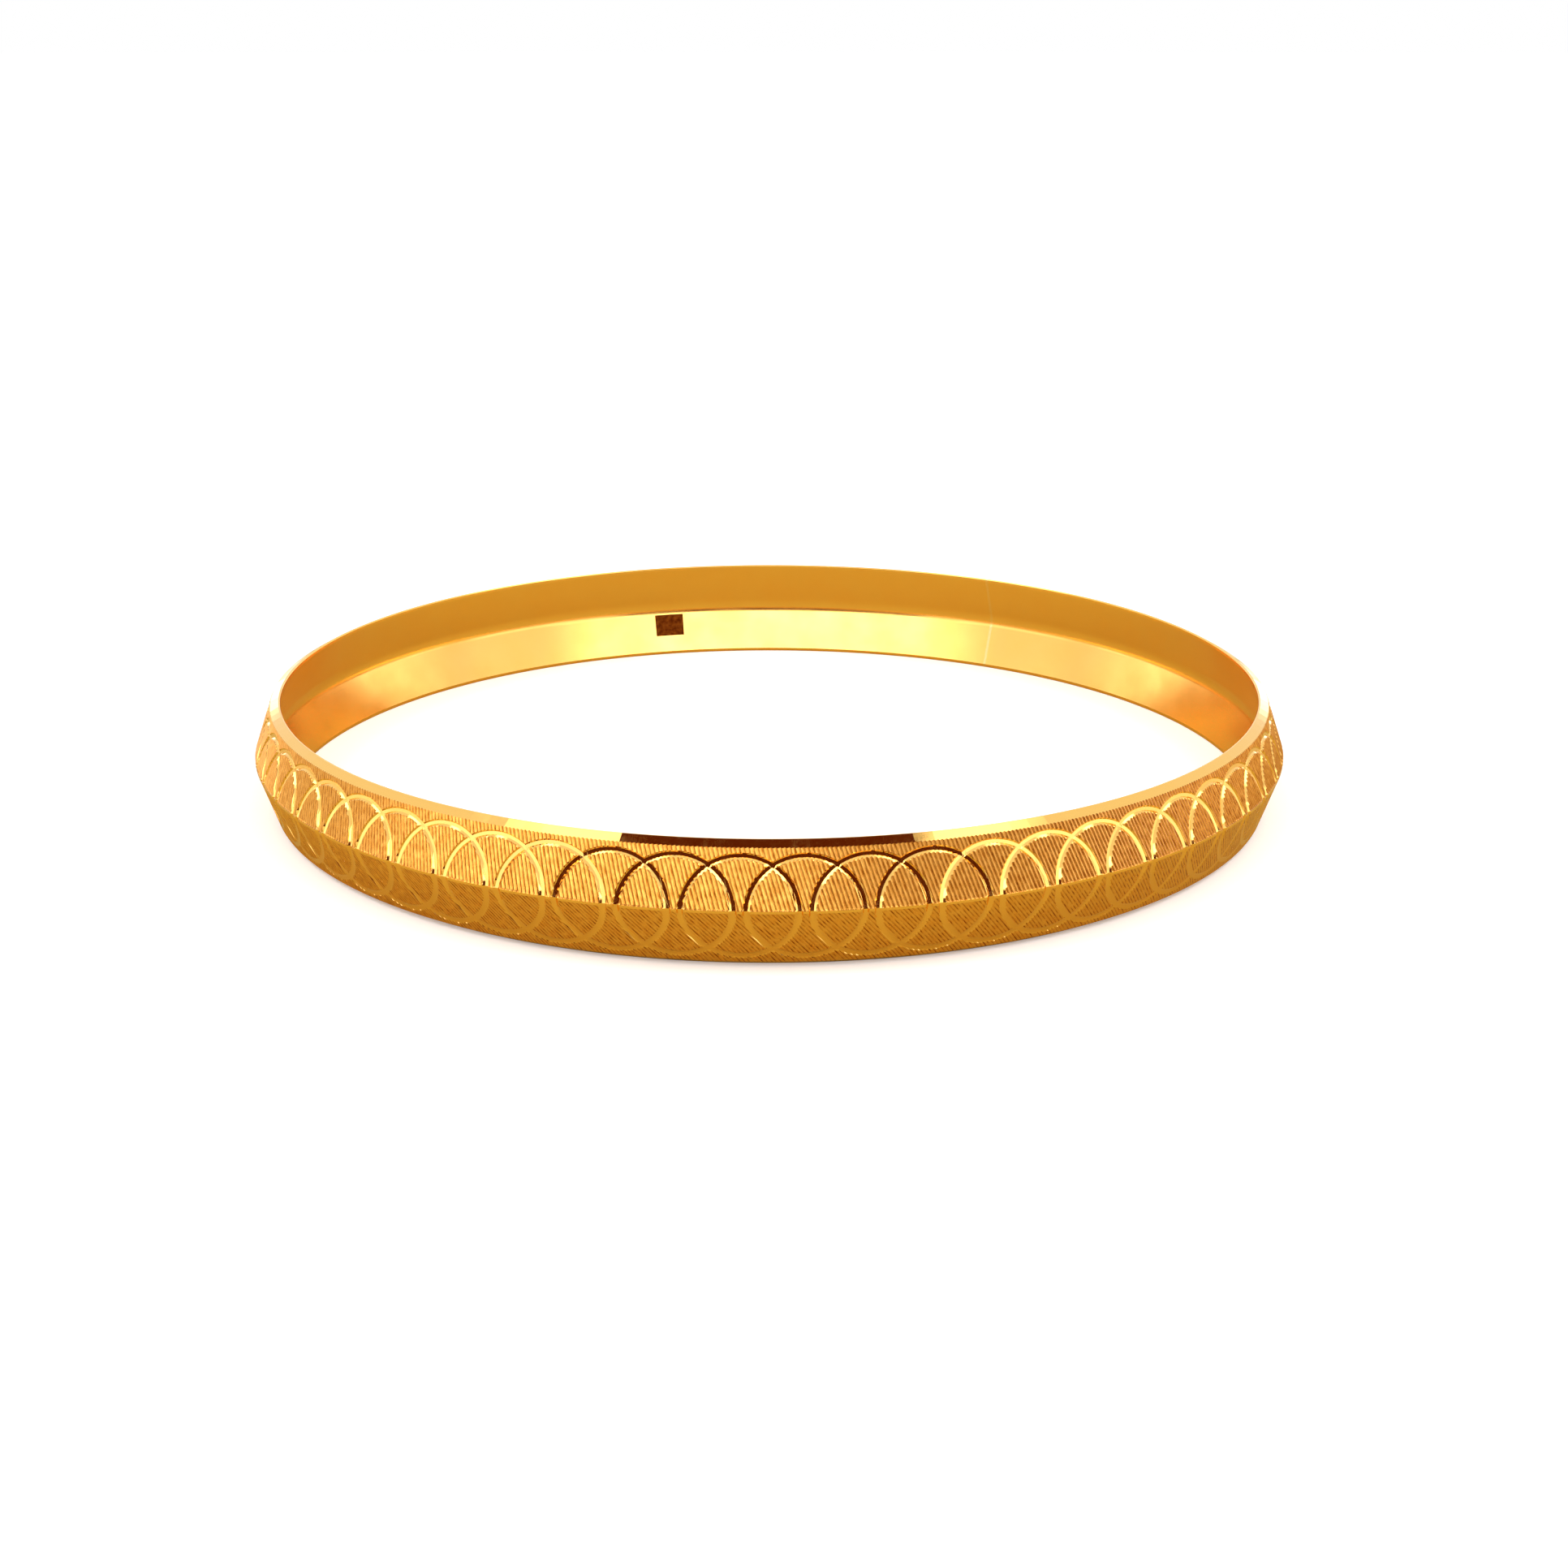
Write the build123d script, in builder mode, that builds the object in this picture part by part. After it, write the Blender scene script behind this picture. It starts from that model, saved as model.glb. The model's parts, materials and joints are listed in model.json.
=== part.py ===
from build123d import *
from math import atan2, cos, degrees, radians, sin
import os

# A closed bangle. One strip of gold is formed to a shallow V with its ridge outwards, bent round to a
# ring and soldered at one butt joint. The ring stands on its lower rim: Z is the ring's axis, the
# origin is the centre of the plane it rests on, and a bearing is an angle about Z from +X towards +Y.

# Driving dimensions, in millimetres and degrees
wrist_diameter = 60.3  # clear width inside the rims, the size by which a bangle is chosen
ridge_reach = 1.71  # from the wrist circle out to the ridge
band_height = 6.7  # from rim to rim
strip_thickness = 0.6  # square to the outside, where the two flanges meet
ridge_round = 0.1  # radius on the ridge outside
fold_round = 1.5  # radius in the fold inside
rim_width = 0.66  # from the wrist circle out to the shoulder where the rim's bevel starts
bevel_rise = 0.3  # height of that bevel
rim_flat = 0.12  # width of the flat on each rim, on which the ring rests
rim_land = 0.225  # height of the upright wall inside each rim
seam_width = 0.2  # gap that the solder fills, measured along the ridge
seam_bearing = 57.8  # where the strip's two ends meet
panel_width = 2.2  # plain sunk panel inside, where an assay mark is usually struck
panel_height = 1.8
panel_depth = 0.08
panel_drop = 1.15  # from the fold down to the panel's middle
panel_bearing = 104.4

# Places that follow from them
wrist_radius = wrist_diameter / 2
ridge_radius = wrist_radius + ridge_reach
shoulder_radius = wrist_radius + rim_width
shoulder_height = band_height - bevel_rise
fold_height = band_height / 2
outer_lean = atan2(ridge_radius - shoulder_radius, shoulder_height - fold_height)
fold_radius = ridge_radius - strip_thickness / cos(outer_lean)
inner_rise = fold_height - rim_land
inner_lean = atan2(fold_radius - wrist_radius, inner_rise)
seam_arc = degrees(seam_width / ridge_radius)

# Upper half of the section as (radius, height), from the ridge over the rim to the fold inside
upper_half = [
    (ridge_radius, fold_height),
    (shoulder_radius, shoulder_height),
    (wrist_radius + rim_flat, band_height),
    (wrist_radius, band_height),
    (wrist_radius, band_height - rim_land),
    (fold_radius, fold_height),
]
lower_half = [(radius, band_height - height) for radius, height in upper_half[-2:0:-1]]


def outwards(bearing):
    """Level direction from the axis at the bearing."""
    return Vector(cos(radians(bearing)), sin(radians(bearing)), 0)


def strip_section(bearing):
    """The formed strip's section, on the upright half-plane at the bearing."""
    out = outwards(bearing)
    with BuildSketch(Plane(origin=(0, 0, 0), x_dir=out, z_dir=out.cross(Vector(0, 0, 1)))) as section:
        with BuildLine():
            Polyline(*upper_half, *lower_half, close=True)
        make_face()
        fold, ridge = section.vertices().filter_by_position(Axis.Y, fold_height, fold_height).sort_by(Axis.X)
        fillet(fold, fold_round)
        fillet(section.vertices().sort_by(Axis.X)[-1], ridge_round)
    return section.sketch


def panel_plane():
    """Plane on the lower inner flange at the panel's middle, facing the axis."""
    out = outwards(panel_bearing)
    middle = out * (fold_radius - panel_drop * (fold_radius - wrist_radius) / inner_rise)
    middle += Vector(0, 0, fold_height - panel_drop)
    inwards = out * -cos(inner_lean) + Vector(0, 0, sin(inner_lean))
    return Plane(origin=middle, x_dir=outwards(panel_bearing + 90), z_dir=inwards)


os.makedirs("parts", exist_ok=True)

# The strip, bent round from one side of the joint to the other, with the panel sunk into it
with BuildPart() as band:
    revolve(strip_section(seam_bearing + seam_arc / 2), Axis.Z, 360 - seam_arc)
    with BuildSketch(panel_plane()):
        Rectangle(panel_width, panel_height)
    extrude(amount=panel_depth, both=True, mode=Mode.SUBTRACT)
band.part.label = "band"
export_step(band.part, "parts/band.step")

# The solder that fills the gap between the strip's ends, dressed flush with it
with BuildPart() as solder_joint:
    revolve(strip_section(seam_bearing - seam_arc / 2), Axis.Z, seam_arc)
solder_joint.part.label = "solder_joint"
export_step(solder_joint.part, "parts/solder_joint.step")
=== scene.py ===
"""Studio scene of a closed gold bangle: an engraved V-section ring and the solder that closes it."""
import json
import logging
import math
from dataclasses import dataclass, field
from enum import Enum

import bpy
import numpy as np
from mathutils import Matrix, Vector
from mathutils.geometry import delaunay_2d_cdt


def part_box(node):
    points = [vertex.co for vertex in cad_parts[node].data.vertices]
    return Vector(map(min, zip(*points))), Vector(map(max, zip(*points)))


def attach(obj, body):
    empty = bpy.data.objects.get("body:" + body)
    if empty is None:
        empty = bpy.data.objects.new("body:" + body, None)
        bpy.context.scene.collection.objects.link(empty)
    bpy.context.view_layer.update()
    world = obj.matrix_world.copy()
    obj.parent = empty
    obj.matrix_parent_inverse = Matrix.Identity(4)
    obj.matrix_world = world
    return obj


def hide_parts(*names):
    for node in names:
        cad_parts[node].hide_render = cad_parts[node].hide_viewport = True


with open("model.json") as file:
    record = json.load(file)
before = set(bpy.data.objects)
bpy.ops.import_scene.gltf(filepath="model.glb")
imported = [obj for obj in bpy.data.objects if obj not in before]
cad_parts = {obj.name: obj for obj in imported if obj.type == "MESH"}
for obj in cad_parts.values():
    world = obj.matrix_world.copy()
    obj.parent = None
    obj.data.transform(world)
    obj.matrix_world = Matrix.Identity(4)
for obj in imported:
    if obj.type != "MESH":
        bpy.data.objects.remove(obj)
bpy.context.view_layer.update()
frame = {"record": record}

MM = 0.001
NEAR = 1e-4  # two places on the strip, in millimetres, that count as one
NOISE_MIDDLE = (0.3, 0.7)  # where most of a noise texture's values lie
MERGE = 5e-5  # distance under which the mesh of the pattern joins two vertices, in millimetres
Socket = bpy.types.NodeSocket
Colour = tuple[float, float, float]
WHITE = (1.0, 1.0, 1.0, 1.0)
log = logging.getLogger("bangle")


def put(name: str, data: bpy.types.ID) -> bpy.types.Object:
    """Puts a new object with its data into the scene.

    Args:
        name: Name of the object.
        data: Its mesh or camera.

    Returns:
        The object.
    """
    thing = bpy.data.objects.new(name, data)
    bpy.context.scene.collection.objects.link(thing)
    return thing


class Surface(Enum):
    """The differently worked surfaces of the bangle; the value is the material slot in its mesh."""

    UPPER_GROUND = 0
    LOWER_GROUND = 1
    BRIGHT = 2
    INSIDE = 3
    PANEL = 4


@dataclass(frozen=True)
class Section:
    """The formed strip's section, in millimetres.

    A place on the outside is told by its climb: the way along the section from the middle of the
    ridge, positive over the upper flange and negative over the lower one.
    """

    wrist_radius: float
    height: float
    ridge_reach: float = 1.71
    thickness: float = 0.6
    rim_width: float = 0.66
    bevel_rise: float = 0.3
    rim_flat: float = 0.12
    rim_land: float = 0.225
    ridge_land: float = 0.065  # half the height of the smooth land on the ridge
    rim_round: float = 0.07  # radius of the rim's inner edge
    rim_steps: int = 3
    fold_round: float = 1.5
    fold_steps: int = 8

    @property
    def middle(self) -> float:
        """Height of the ridge."""
        return self.height / 2

    @property
    def ridge_radius(self) -> float:
        """Radius at which the two flanges would meet."""
        return self.wrist_radius + self.ridge_reach

    @property
    def lean(self) -> float:
        """How far the outside of a flange leans from upright, in radians."""
        return math.atan2(self.ridge_reach - self.rim_width, self.middle - self.bevel_rise)

    @property
    def tilt(self) -> float:
        """How far the rim's bevel rises from level, in radians."""
        return math.atan2(self.bevel_rise, self.rim_width - self.rim_flat)

    @property
    def fold_radius(self) -> float:
        """Radius at which the insides of the two flanges would meet."""
        return self.ridge_radius - self.thickness / math.cos(self.lean)

    @property
    def inner_lean(self) -> float:
        """How far the inside of a flange leans from upright, in radians."""
        return math.atan2(self.fold_radius - self.wrist_radius, self.middle - self.rim_land)

    @property
    def panel_stretch(self) -> int:
        """Number of the stretch of the inside that the sunk panel lies in."""
        return self.fold_steps + self.rim_steps + 4

    @property
    def shoulder(self) -> float:
        """Climb at which the flange ends and the bevel starts."""
        return self.ridge_land + (self.middle - self.bevel_rise - self.ridge_land) / math.cos(self.lean)

    @property
    def rim(self) -> float:
        """Climb at which the bevel ends on the rim."""
        return self.shoulder + self.bevel_rise / math.sin(self.tilt)

    def place(self, climb: np.ndarray, depth: np.ndarray) -> np.ndarray:
        """Finds the places of points on the engraved outside.

        Args:
            climb: Climb of each point.
            depth: How deep each point lies under the unworked outside.

        Returns:
            One row of radius and height for each point.
        """
        land = self.ridge_radius - self.ridge_land * math.tan(self.lean)
        radii = [land, self.wrist_radius + self.rim_width, self.wrist_radius + self.rim_flat]
        rises = [self.ridge_land, self.middle - self.bevel_rise, self.middle]
        side, way = np.sign(climb), np.abs(climb)
        knots = [self.ridge_land, self.shoulder, self.rim]
        radius = np.interp(way, knots, radii)
        rise = np.where(way < self.ridge_land, way, np.interp(way, knots, rises))
        on_corner = np.abs(way - self.ridge_land) < NEAR
        on_shoulder = np.abs(way - self.shoulder) < NEAR
        on_flange = (way > self.ridge_land) & ~on_corner
        inward = np.where(on_flange, math.cos(self.lean), 1.0)
        towards_ridge = np.where(on_flange, math.sin(self.lean), 0.0)
        towards_ridge = np.where(on_corner, math.tan(self.lean / 2), towards_ridge)
        # At the shoulder a groove runs out in the bevel's own surface.
        notch = 1 / math.sin(math.pi / 2 - self.lean - self.tilt)
        inward = np.where(on_shoulder, notch * math.cos(self.tilt), inward)
        towards_ridge = np.where(on_shoulder, -notch * math.sin(self.tilt), towards_ridge)
        height = self.middle + side * (rise - depth * towards_ridge)
        return np.column_stack([radius - depth * inward, height])

    def facing(self, climb: float) -> tuple[float, float]:
        """Finds which way the unworked outside faces.

        Args:
            climb: Climb of a place between two corners of the section.

        Returns:
            Radial and upward parts of the normal there.
        """
        side, way = math.copysign(1, climb), abs(climb)
        if way < self.ridge_land:
            return 1.0, 0.0
        if way < self.shoulder:
            return math.cos(self.lean), side * math.sin(self.lean)
        return math.sin(self.tilt), side * math.cos(self.tilt)

    def inside(self, panel: tuple[float, float]) -> tuple[np.ndarray, np.ndarray]:
        """Lays out the smooth inside, from the upper rim's outer edge down to the lower rim's.

        Args:
            panel: Heights of the sunk panel's upper and lower edges.

        Returns:
            The corners as rows of radius and height, and for each stretch between two corners the
            normal at its start and at its end.
        """
        lean, slope = self.inner_lean, math.tan(self.inner_lean)
        edge = np.linspace(math.pi / 2, math.pi, self.rim_steps + 1)
        centre = (self.wrist_radius + self.rim_round, self.height - self.rim_round)
        upper = [(self.wrist_radius + self.rim_flat, self.height)]
        upper += self.arc(centre, self.rim_round, edge)
        upper += [(self.wrist_radius, self.height - self.rim_land)]
        facings = [((0.0, 1.0), (0.0, 1.0))]
        facings += [(self.out(t), self.out(u)) for t, u in zip(edge, edge[1:])]
        facings += [((-1.0, 0.0), (-1.0, 0.0)), (self.out(lean, -1),) * 2]
        turns = np.linspace(lean, -lean, self.fold_steps + 1)
        start = self.fold_radius - self.fold_round / math.cos(lean)
        fold = self.arc((start, self.middle), self.fold_round, turns)
        bends = [(self.out(t, -1), self.out(u, -1)) for t, u in zip(turns, turns[1:])]
        marked = [(self.wrist_radius + (height - self.rim_land) * slope, height) for height in panel]
        lower = [(radius, self.height - height) for radius, height in reversed(upper)]
        below = [((r1, -up1), (r0, -up0)) for (r0, up0), (r1, up1) in reversed(facings)]
        facings += bends + below[:1] * len(panel) + below
        return np.array(upper + fold + marked + lower), np.array(facings)

    @staticmethod
    def out(turn: float, side: int = 1) -> tuple[float, float]:
        """Radial and upward parts of a unit arrow at a turn from level, reversed for a side of -1."""
        return side * math.cos(turn), side * math.sin(turn)

    @staticmethod
    def arc(centre: tuple[float, float], size: float, turns: np.ndarray) -> list[tuple[float, float]]:
        """Radii and heights round an arc of a size, at turns from level."""
        return [(centre[0] + size * math.cos(turn), centre[1] + size * math.sin(turn)) for turn in turns]


@dataclass(frozen=True)
class CircleCut:
    """A circle cut round the ridge by a slanted bright-cutting tool, in millimetres.

    The tool leaves a short steep lip outside, a broad bright facet that deepens inwards, and an inner
    wall that comes up through the hatching.
    """

    reach: float = 3.03  # from the circle's centre along the ridge to the middle of the bright facet
    flatness: float = 1.06  # reach along the ridge over reach across it
    lip: float = 0.075
    facet: float = 0.185
    wall: float = 0.17
    lip_depth: float = 0.1
    depth: float = 0.12
    steps: int = 64

    @property
    def edges(self) -> list[float]:
        """Distances from the centre at which the cut changes slope, from the inside outwards."""
        deepest = self.reach - self.facet / 2
        return [deepest - self.wall, deepest, deepest + self.facet, deepest + self.facet + self.lip]

    def rings(self, met_depth: float) -> list[float]:
        """Distances at which the mesh follows the cut, with the one where the wall meets the hatching."""
        inner, deepest, lip, outer = self.edges
        return [inner, inner + (deepest - inner) * met_depth / self.depth, deepest, lip, outer]

    def outwards(self, along: np.ndarray, climb: np.ndarray) -> tuple[np.ndarray, np.ndarray]:
        """Finds how points lie round the circle's centre.

        Args:
            along: Way along the ridge from the centre.
            climb: Climb of the same points.

        Returns:
            Their distance from the centre in the circle's own measure, and how fast that grows along
            and across the ridge.
        """
        across = climb * self.flatness
        away = np.maximum(np.hypot(along, across), NEAR)
        return away, np.stack([along / away, across / away * self.flatness], axis=-1)

    def at(self, away: np.ndarray) -> tuple[np.ndarray, np.ndarray]:
        """Measures the cut.

        Args:
            away: Distances from the circle's centre, in its own measure.

        Returns:
            The depth at each distance, and how fast it grows with the distance.
        """
        depth = np.interp(away, self.edges, [0, self.depth, self.lip_depth, 0], left=0, right=0)
        wall, lip = self.depth / self.wall, -self.lip_depth / self.lip
        facet = (self.lip_depth - self.depth) / self.facet
        return depth, np.array([0, wall, facet, lip, 0])[np.searchsorted(self.edges, away)]


@dataclass(frozen=True)
class Hatching:
    """Fine parallel grooves over one flange, in millimetres."""

    grooves: int  # in one repeat of the pattern
    lean: float  # way towards the left for each unit of climb
    bottom: float  # where a groove's bottom lies, as a share of its width from the left
    depth: float
    fade: float = 0.08  # way over which it runs out beside the ridge

    def at(self, along: np.ndarray, climb: np.ndarray, pitch: float) -> tuple[np.ndarray, np.ndarray]:
        """Measures the hatching well away from the ridge.

        Args:
            along: Way along the ridge.
            climb: Climb of the same points.
            pitch: Way from groove to groove along the ridge.

        Returns:
            The depth at each point, and its slope as rows of change along and across the ridge.
        """
        across = np.mod(along + self.lean * climb, pitch)
        depth = np.interp(across, [0, self.bottom * pitch, pitch], [0, self.depth, 0])
        falling = self.depth / (self.bottom * pitch)
        rising = -self.depth / ((1 - self.bottom) * pitch)
        slope = np.where(across < self.bottom * pitch, falling, rising)
        return depth, np.column_stack([slope, slope * self.lean])


@dataclass
class Patch:
    """One repeat of the engraved outside, as triangles on the unrolled strip.

    Attributes:
        points: Way along the ridge and climb of each vertex, in millimetres.
        triangles: Vertex numbers, anticlockwise seen from outside.
        depth: Depth of each vertex.
        normals: For each triangle's corners, the radial, sideways and upward parts of the normal.
        surfaces: The worked surface that each triangle belongs to.
    """

    points: np.ndarray
    triangles: np.ndarray
    depth: np.ndarray
    normals: np.ndarray
    surfaces: np.ndarray

    def along(self, axis: int, value: float) -> np.ndarray:
        """Vertices on the line where one coordinate has a value, sorted by the other one."""
        found = np.flatnonzero(np.abs(self.points[:, axis] - value) < NEAR)
        return found[np.argsort(self.points[found, 1 - axis])]


@dataclass
class Engraving:
    """The overlapping circles and the hatching, repeated round the ring."""

    section: Section
    repeats: int = 60
    columns: int = 12  # of the smooth inside, in one repeat
    phase: float = 0.08  # of a repeat, from the joint back to the centre of the nearest circle
    circle: CircleCut = field(default_factory=CircleCut)
    upper: Hatching = Hatching(grooves=14, lean=0.3, bottom=0.6, depth=0.048)
    lower: Hatching = Hatching(grooves=14, lean=0.84, bottom=0.4, depth=0.024)
    crease: float = 0.15  # difference of slope over which a triangle counts as bridging a crease
    lower_share: float = 0.36  # of its full depth that a circle keeps on the lower flange
    easing: float = 0.8  # way below the ridge over which a circle gets shallower, in millimetres
    facets: int = 3  # of each bevel, in one repeat; they lie in its normals only
    unevenness: float = 0.018  # usual turn or tip of a facet from true, in radians
    worst: float = 2.0  # the most that a facet is off, as a multiple of that
    seed: int = 5  # of the turns and tips

    @property
    def pitch(self) -> float:
        """Way along the ridge from one circle's centre to the next."""
        return math.tau * self.section.ridge_radius / self.repeats

    def centres(self) -> list[float]:
        """Centres of the circles that reach into one repeat."""
        reach = math.ceil(self.circle.edges[-1] / self.pitch)
        return [(number - self.phase) * self.pitch for number in range(-reach, reach + 2)]

    def hatching(self, points: np.ndarray) -> tuple[np.ndarray, np.ndarray, np.ndarray]:
        """Measures the hatching alone.

        Args:
            points: Rows of way along the ridge and climb.

        Returns:
            Depth, slope along and across the ridge, and whether each point lies on a flange.
        """
        along, climb = points.T
        way = np.abs(climb)
        hatched = (way > self.section.ridge_land) & (way < self.section.shoulder + NEAR)
        depth, slope = np.zeros(len(points)), np.zeros((len(points), 2))
        for side, hatching in ((1, self.upper), (-1, self.lower)):
            here = hatched & (side * climb > 0)
            run_in = np.clip((way[here] - self.section.ridge_land) / hatching.fade, 0, 1)
            cut, rise = hatching.at(along[here], climb[here], self.pitch / hatching.grooves)
            depth[here], slope[here] = cut * run_in, rise * run_in[:, None]
        return depth, slope, hatched

    def kept(self, climb: np.ndarray) -> tuple[np.ndarray, np.ndarray]:
        """Finds how the circles get shallower below the ridge.

        Args:
            climb: Climb of each place.

        Returns:
            Share of their full depth that the circles keep there, and how fast it grows with the climb.
        """
        eased = -(climb + self.section.ridge_land) / self.easing
        growth = np.where((eased > 0) & (eased < 1), (1 - self.lower_share) / self.easing, 0.0)
        return 1 - (1 - self.lower_share) * np.clip(eased, 0, 1), growth

    def depth(self, points: np.ndarray) -> np.ndarray:
        """Measures the whole engraving.

        Args:
            points: Rows of way along the ridge and climb.

        Returns:
            Depth of the hatching or of the deepest circle at each point.
        """
        deepest, _, _ = self.hatching(points)
        kept, _ = self.kept(points[:, 1])
        for centre in self.centres():
            away, _ = self.circle.outwards(points[:, 0] - centre, points[:, 1])
            deepest = np.maximum(deepest, kept * self.circle.at(away)[0])
        return deepest

    def lines(self, cuts: tuple[float, ...]) -> list[tuple[float, float, float, float]]:
        """Lists the lines that the mesh of one repeat follows.

        Args:
            cuts: Ways along the ridge at which the strip's ends are cut.

        Returns:
            Each line as its start's way along and climb, and its end's.
        """
        section, pitch = self.section, self.pitch
        marks = sorted([column * pitch / self.columns for column in range(self.columns + 1)] + list(cuts))
        found = [(a, rim, b, rim) for rim in (-section.rim, section.rim) for a, b in zip(marks, marks[1:])]
        found += [(place, -section.rim, place, section.rim) for place in (0.0, *cuts, pitch)]
        eased = -section.ridge_land - self.easing
        found.append((0.0, eased, pitch, eased))
        for facet in range(1, self.facets):
            place = facet * pitch / self.facets
            found += [(place, side * section.shoulder, place, side * section.rim) for side in (-1, 1)]
        for side, hatching in ((1, self.upper), (-1, self.lower)):
            levels = (section.ridge_land, section.ridge_land + hatching.fade, section.shoulder)
            found += [(0.0, side * level, pitch, side * level) for level in levels]
            low, high = side * section.ridge_land, side * section.shoulder
            step = pitch / hatching.grooves
            spare = math.ceil(hatching.lean * section.shoulder / step) + 1
            for groove in range(-spare, hatching.grooves + spare):
                for crease in (0.0, hatching.bottom * step):
                    start = groove * step + crease
                    found.append((start - hatching.lean * low, low, start - hatching.lean * high, high))
        turns = (np.arange(self.circle.steps + 1) + 0.5) * math.tau / self.circle.steps
        for centre in self.centres():
            for ring in self.circle.rings(self.upper.depth):
                along = centre + ring * np.cos(turns)
                climb = ring * np.sin(turns) / self.circle.flatness
                found += list(zip(along, climb, along[1:], climb[1:]))
        return found

    def patch(self, cuts: tuple[float, ...] = ()) -> Patch:
        """Makes one repeat of the engraved outside.

        Args:
            cuts: Ways along the ridge at which the strip's ends are cut.

        Returns:
            The repeat.
        """
        points, edges = [], []
        for line in self.lines(cuts):
            kept = self.clip(line)
            if kept:
                edges.append((len(points), len(points) + 1))
                points += kept
        found, _, faces, *_ = delaunay_2d_cdt([Vector(point) for point in points], edges, [], 0, MERGE)
        flat = np.array([(point.x, point.y) for point in found])
        triangles = np.array(faces)
        depth = self.depth(flat)
        normals, surfaces = self.dress(flat[triangles], depth[triangles])
        return Patch(flat, triangles, depth, normals, surfaces)

    def clip(self, line: tuple[float, float, float, float]) -> list[tuple[float, float]]:
        """Cuts a line down to one repeat.

        Args:
            line: Its start's way along and climb, and its end's.

        Returns:
            The two ends of the stretch that lies in the repeat, or nothing.
        """
        (u0, s0, u1, s1), pitch, touch = line, self.pitch, NEAR / 10
        before = max(u0, u1) < touch and min(u0, u1) < 0
        after = min(u0, u1) > pitch - touch and max(u0, u1) > pitch
        if before or after:
            return []
        ends = []
        for (ua, sa), (ub, sb) in (((u0, s0), (u1, s1)), ((u1, s1), (u0, s0))):
            bound = min(max(ua, 0.0), pitch)
            climb = sa if bound == ua else sa + (sb - sa) * (bound - ua) / (ub - ua)
            ends.append((bound, climb))
        return ends

    def dress(self, corners: np.ndarray, depths: np.ndarray) -> tuple[np.ndarray, np.ndarray]:
        """Works out true corner normals, so that a cut shines evenly along its length.

        Args:
            corners: Way along the ridge and climb of each triangle's corners.
            depths: Depth of those corners.

        Returns:
            The radial, sideways and upward parts of each corner's normal, and each triangle's surface.
        """
        middles = corners.mean(axis=1)
        deepest, slope, hatched = self.hatching(middles)
        grounds = np.where(middles[:, 1] > 0, Surface.UPPER_GROUND.value, Surface.LOWER_GROUND.value)
        surfaces = np.where(hatched, grounds, Surface.BRIGHT.value)
        slopes = np.repeat(slope[:, None, :], 3, axis=1)
        kept, easing = self.kept(middles[:, 1])
        for centre in self.centres():
            away, _ = self.circle.outwards(middles[:, 0] - centre, middles[:, 1])
            depth, growth = self.circle.at(away)
            own = kept * depth > deepest
            deepest = np.where(own, kept * depth, deepest)
            surfaces[own] = Surface.BRIGHT.value
            _, outwards = self.circle.outwards(corners[own, :, 0] - centre, corners[own, :, 1])
            slopes[own] = (kept * growth)[own, None, None] * outwards
            slopes[own, :, 1] += (easing * depth)[own, None]
        # Where triangles bridge a crease, their own flat slope is the truer one.
        (side, up), fall = (corners[:, 1:] - corners[:, :1]).transpose(1, 0, 2), depths - depths[:, :1]
        area = side[:, 0] * up[:, 1] - side[:, 1] * up[:, 0]
        flat = np.column_stack([
            (fall[:, 1] * up[:, 1] - fall[:, 2] * side[:, 1]) / area,
            (fall[:, 2] * side[:, 0] - fall[:, 1] * up[:, 0]) / area,
        ])
        bridging = hatched & (np.linalg.norm(slopes.mean(axis=1) - flat, axis=1) > self.crease)
        slopes[bridging] = flat[bridging, None]
        radial, up = np.array([self.section.facing(climb) for climb in middles[:, 1]]).T[:, :, None]
        sideways, climbing = slopes[..., 0], slopes[..., 1]
        normals = np.stack([radial - climbing * up, sideways, up + climbing * radial], axis=-1)
        return normals / np.linalg.norm(normals, axis=-1, keepdims=True), surfaces


@dataclass
class Faces:
    """Faces that have the same number of corners.

    Attributes:
        corners: Vertex numbers, one row for each face.
        normals: Normal at each corner, in X, Y and Z.
        surfaces: The worked surface of each face.
        solder: Whether each face belongs to the solder.
    """

    corners: np.ndarray
    normals: np.ndarray
    surfaces: np.ndarray
    solder: np.ndarray


@dataclass
class Metal:
    """Vertices of the ring, in millimetres and radians."""

    along: np.ndarray
    climb: np.ndarray
    radius: np.ndarray
    height: np.ndarray
    bearing: np.ndarray

    def add(self, **parts: np.ndarray) -> np.ndarray:
        """Adds a block of vertices.

        Args:
            **parts: One array for each field, all of them in shapes that stretch to the block's.

        Returns:
            The new vertices' numbers, in the shape of the block.
        """
        shape = np.broadcast_shapes(*(np.shape(part) for part in parts.values()))
        start = len(self.along)
        for name, part in parts.items():
            setattr(self, name, np.append(getattr(self, name), np.broadcast_to(part, shape)))
        return start + np.arange(math.prod(shape)).reshape(shape)

    def directions(self, corners: np.ndarray, parts: np.ndarray) -> np.ndarray:
        """Turns arrows at vertices into X, Y and Z.

        Args:
            corners: Numbers of the vertices.
            parts: Radial, sideways and upward parts of each arrow.

        Returns:
            The arrows, in the shape of the corners.
        """
        cos, sin = np.cos(self.bearing[corners]), np.sin(self.bearing[corners])
        radial, sideways, upward = np.moveaxis(np.broadcast_to(parts, (*corners.shape, 3)), -1, 0)
        return np.stack([radial * cos - sideways * sin, radial * sin + sideways * cos, upward], axis=-1)

    def places(self) -> np.ndarray:
        """Places of all vertices, in metres."""
        flat = self.radius * np.cos(self.bearing), self.radius * np.sin(self.bearing), self.height
        return np.column_stack(flat) * MM


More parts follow.
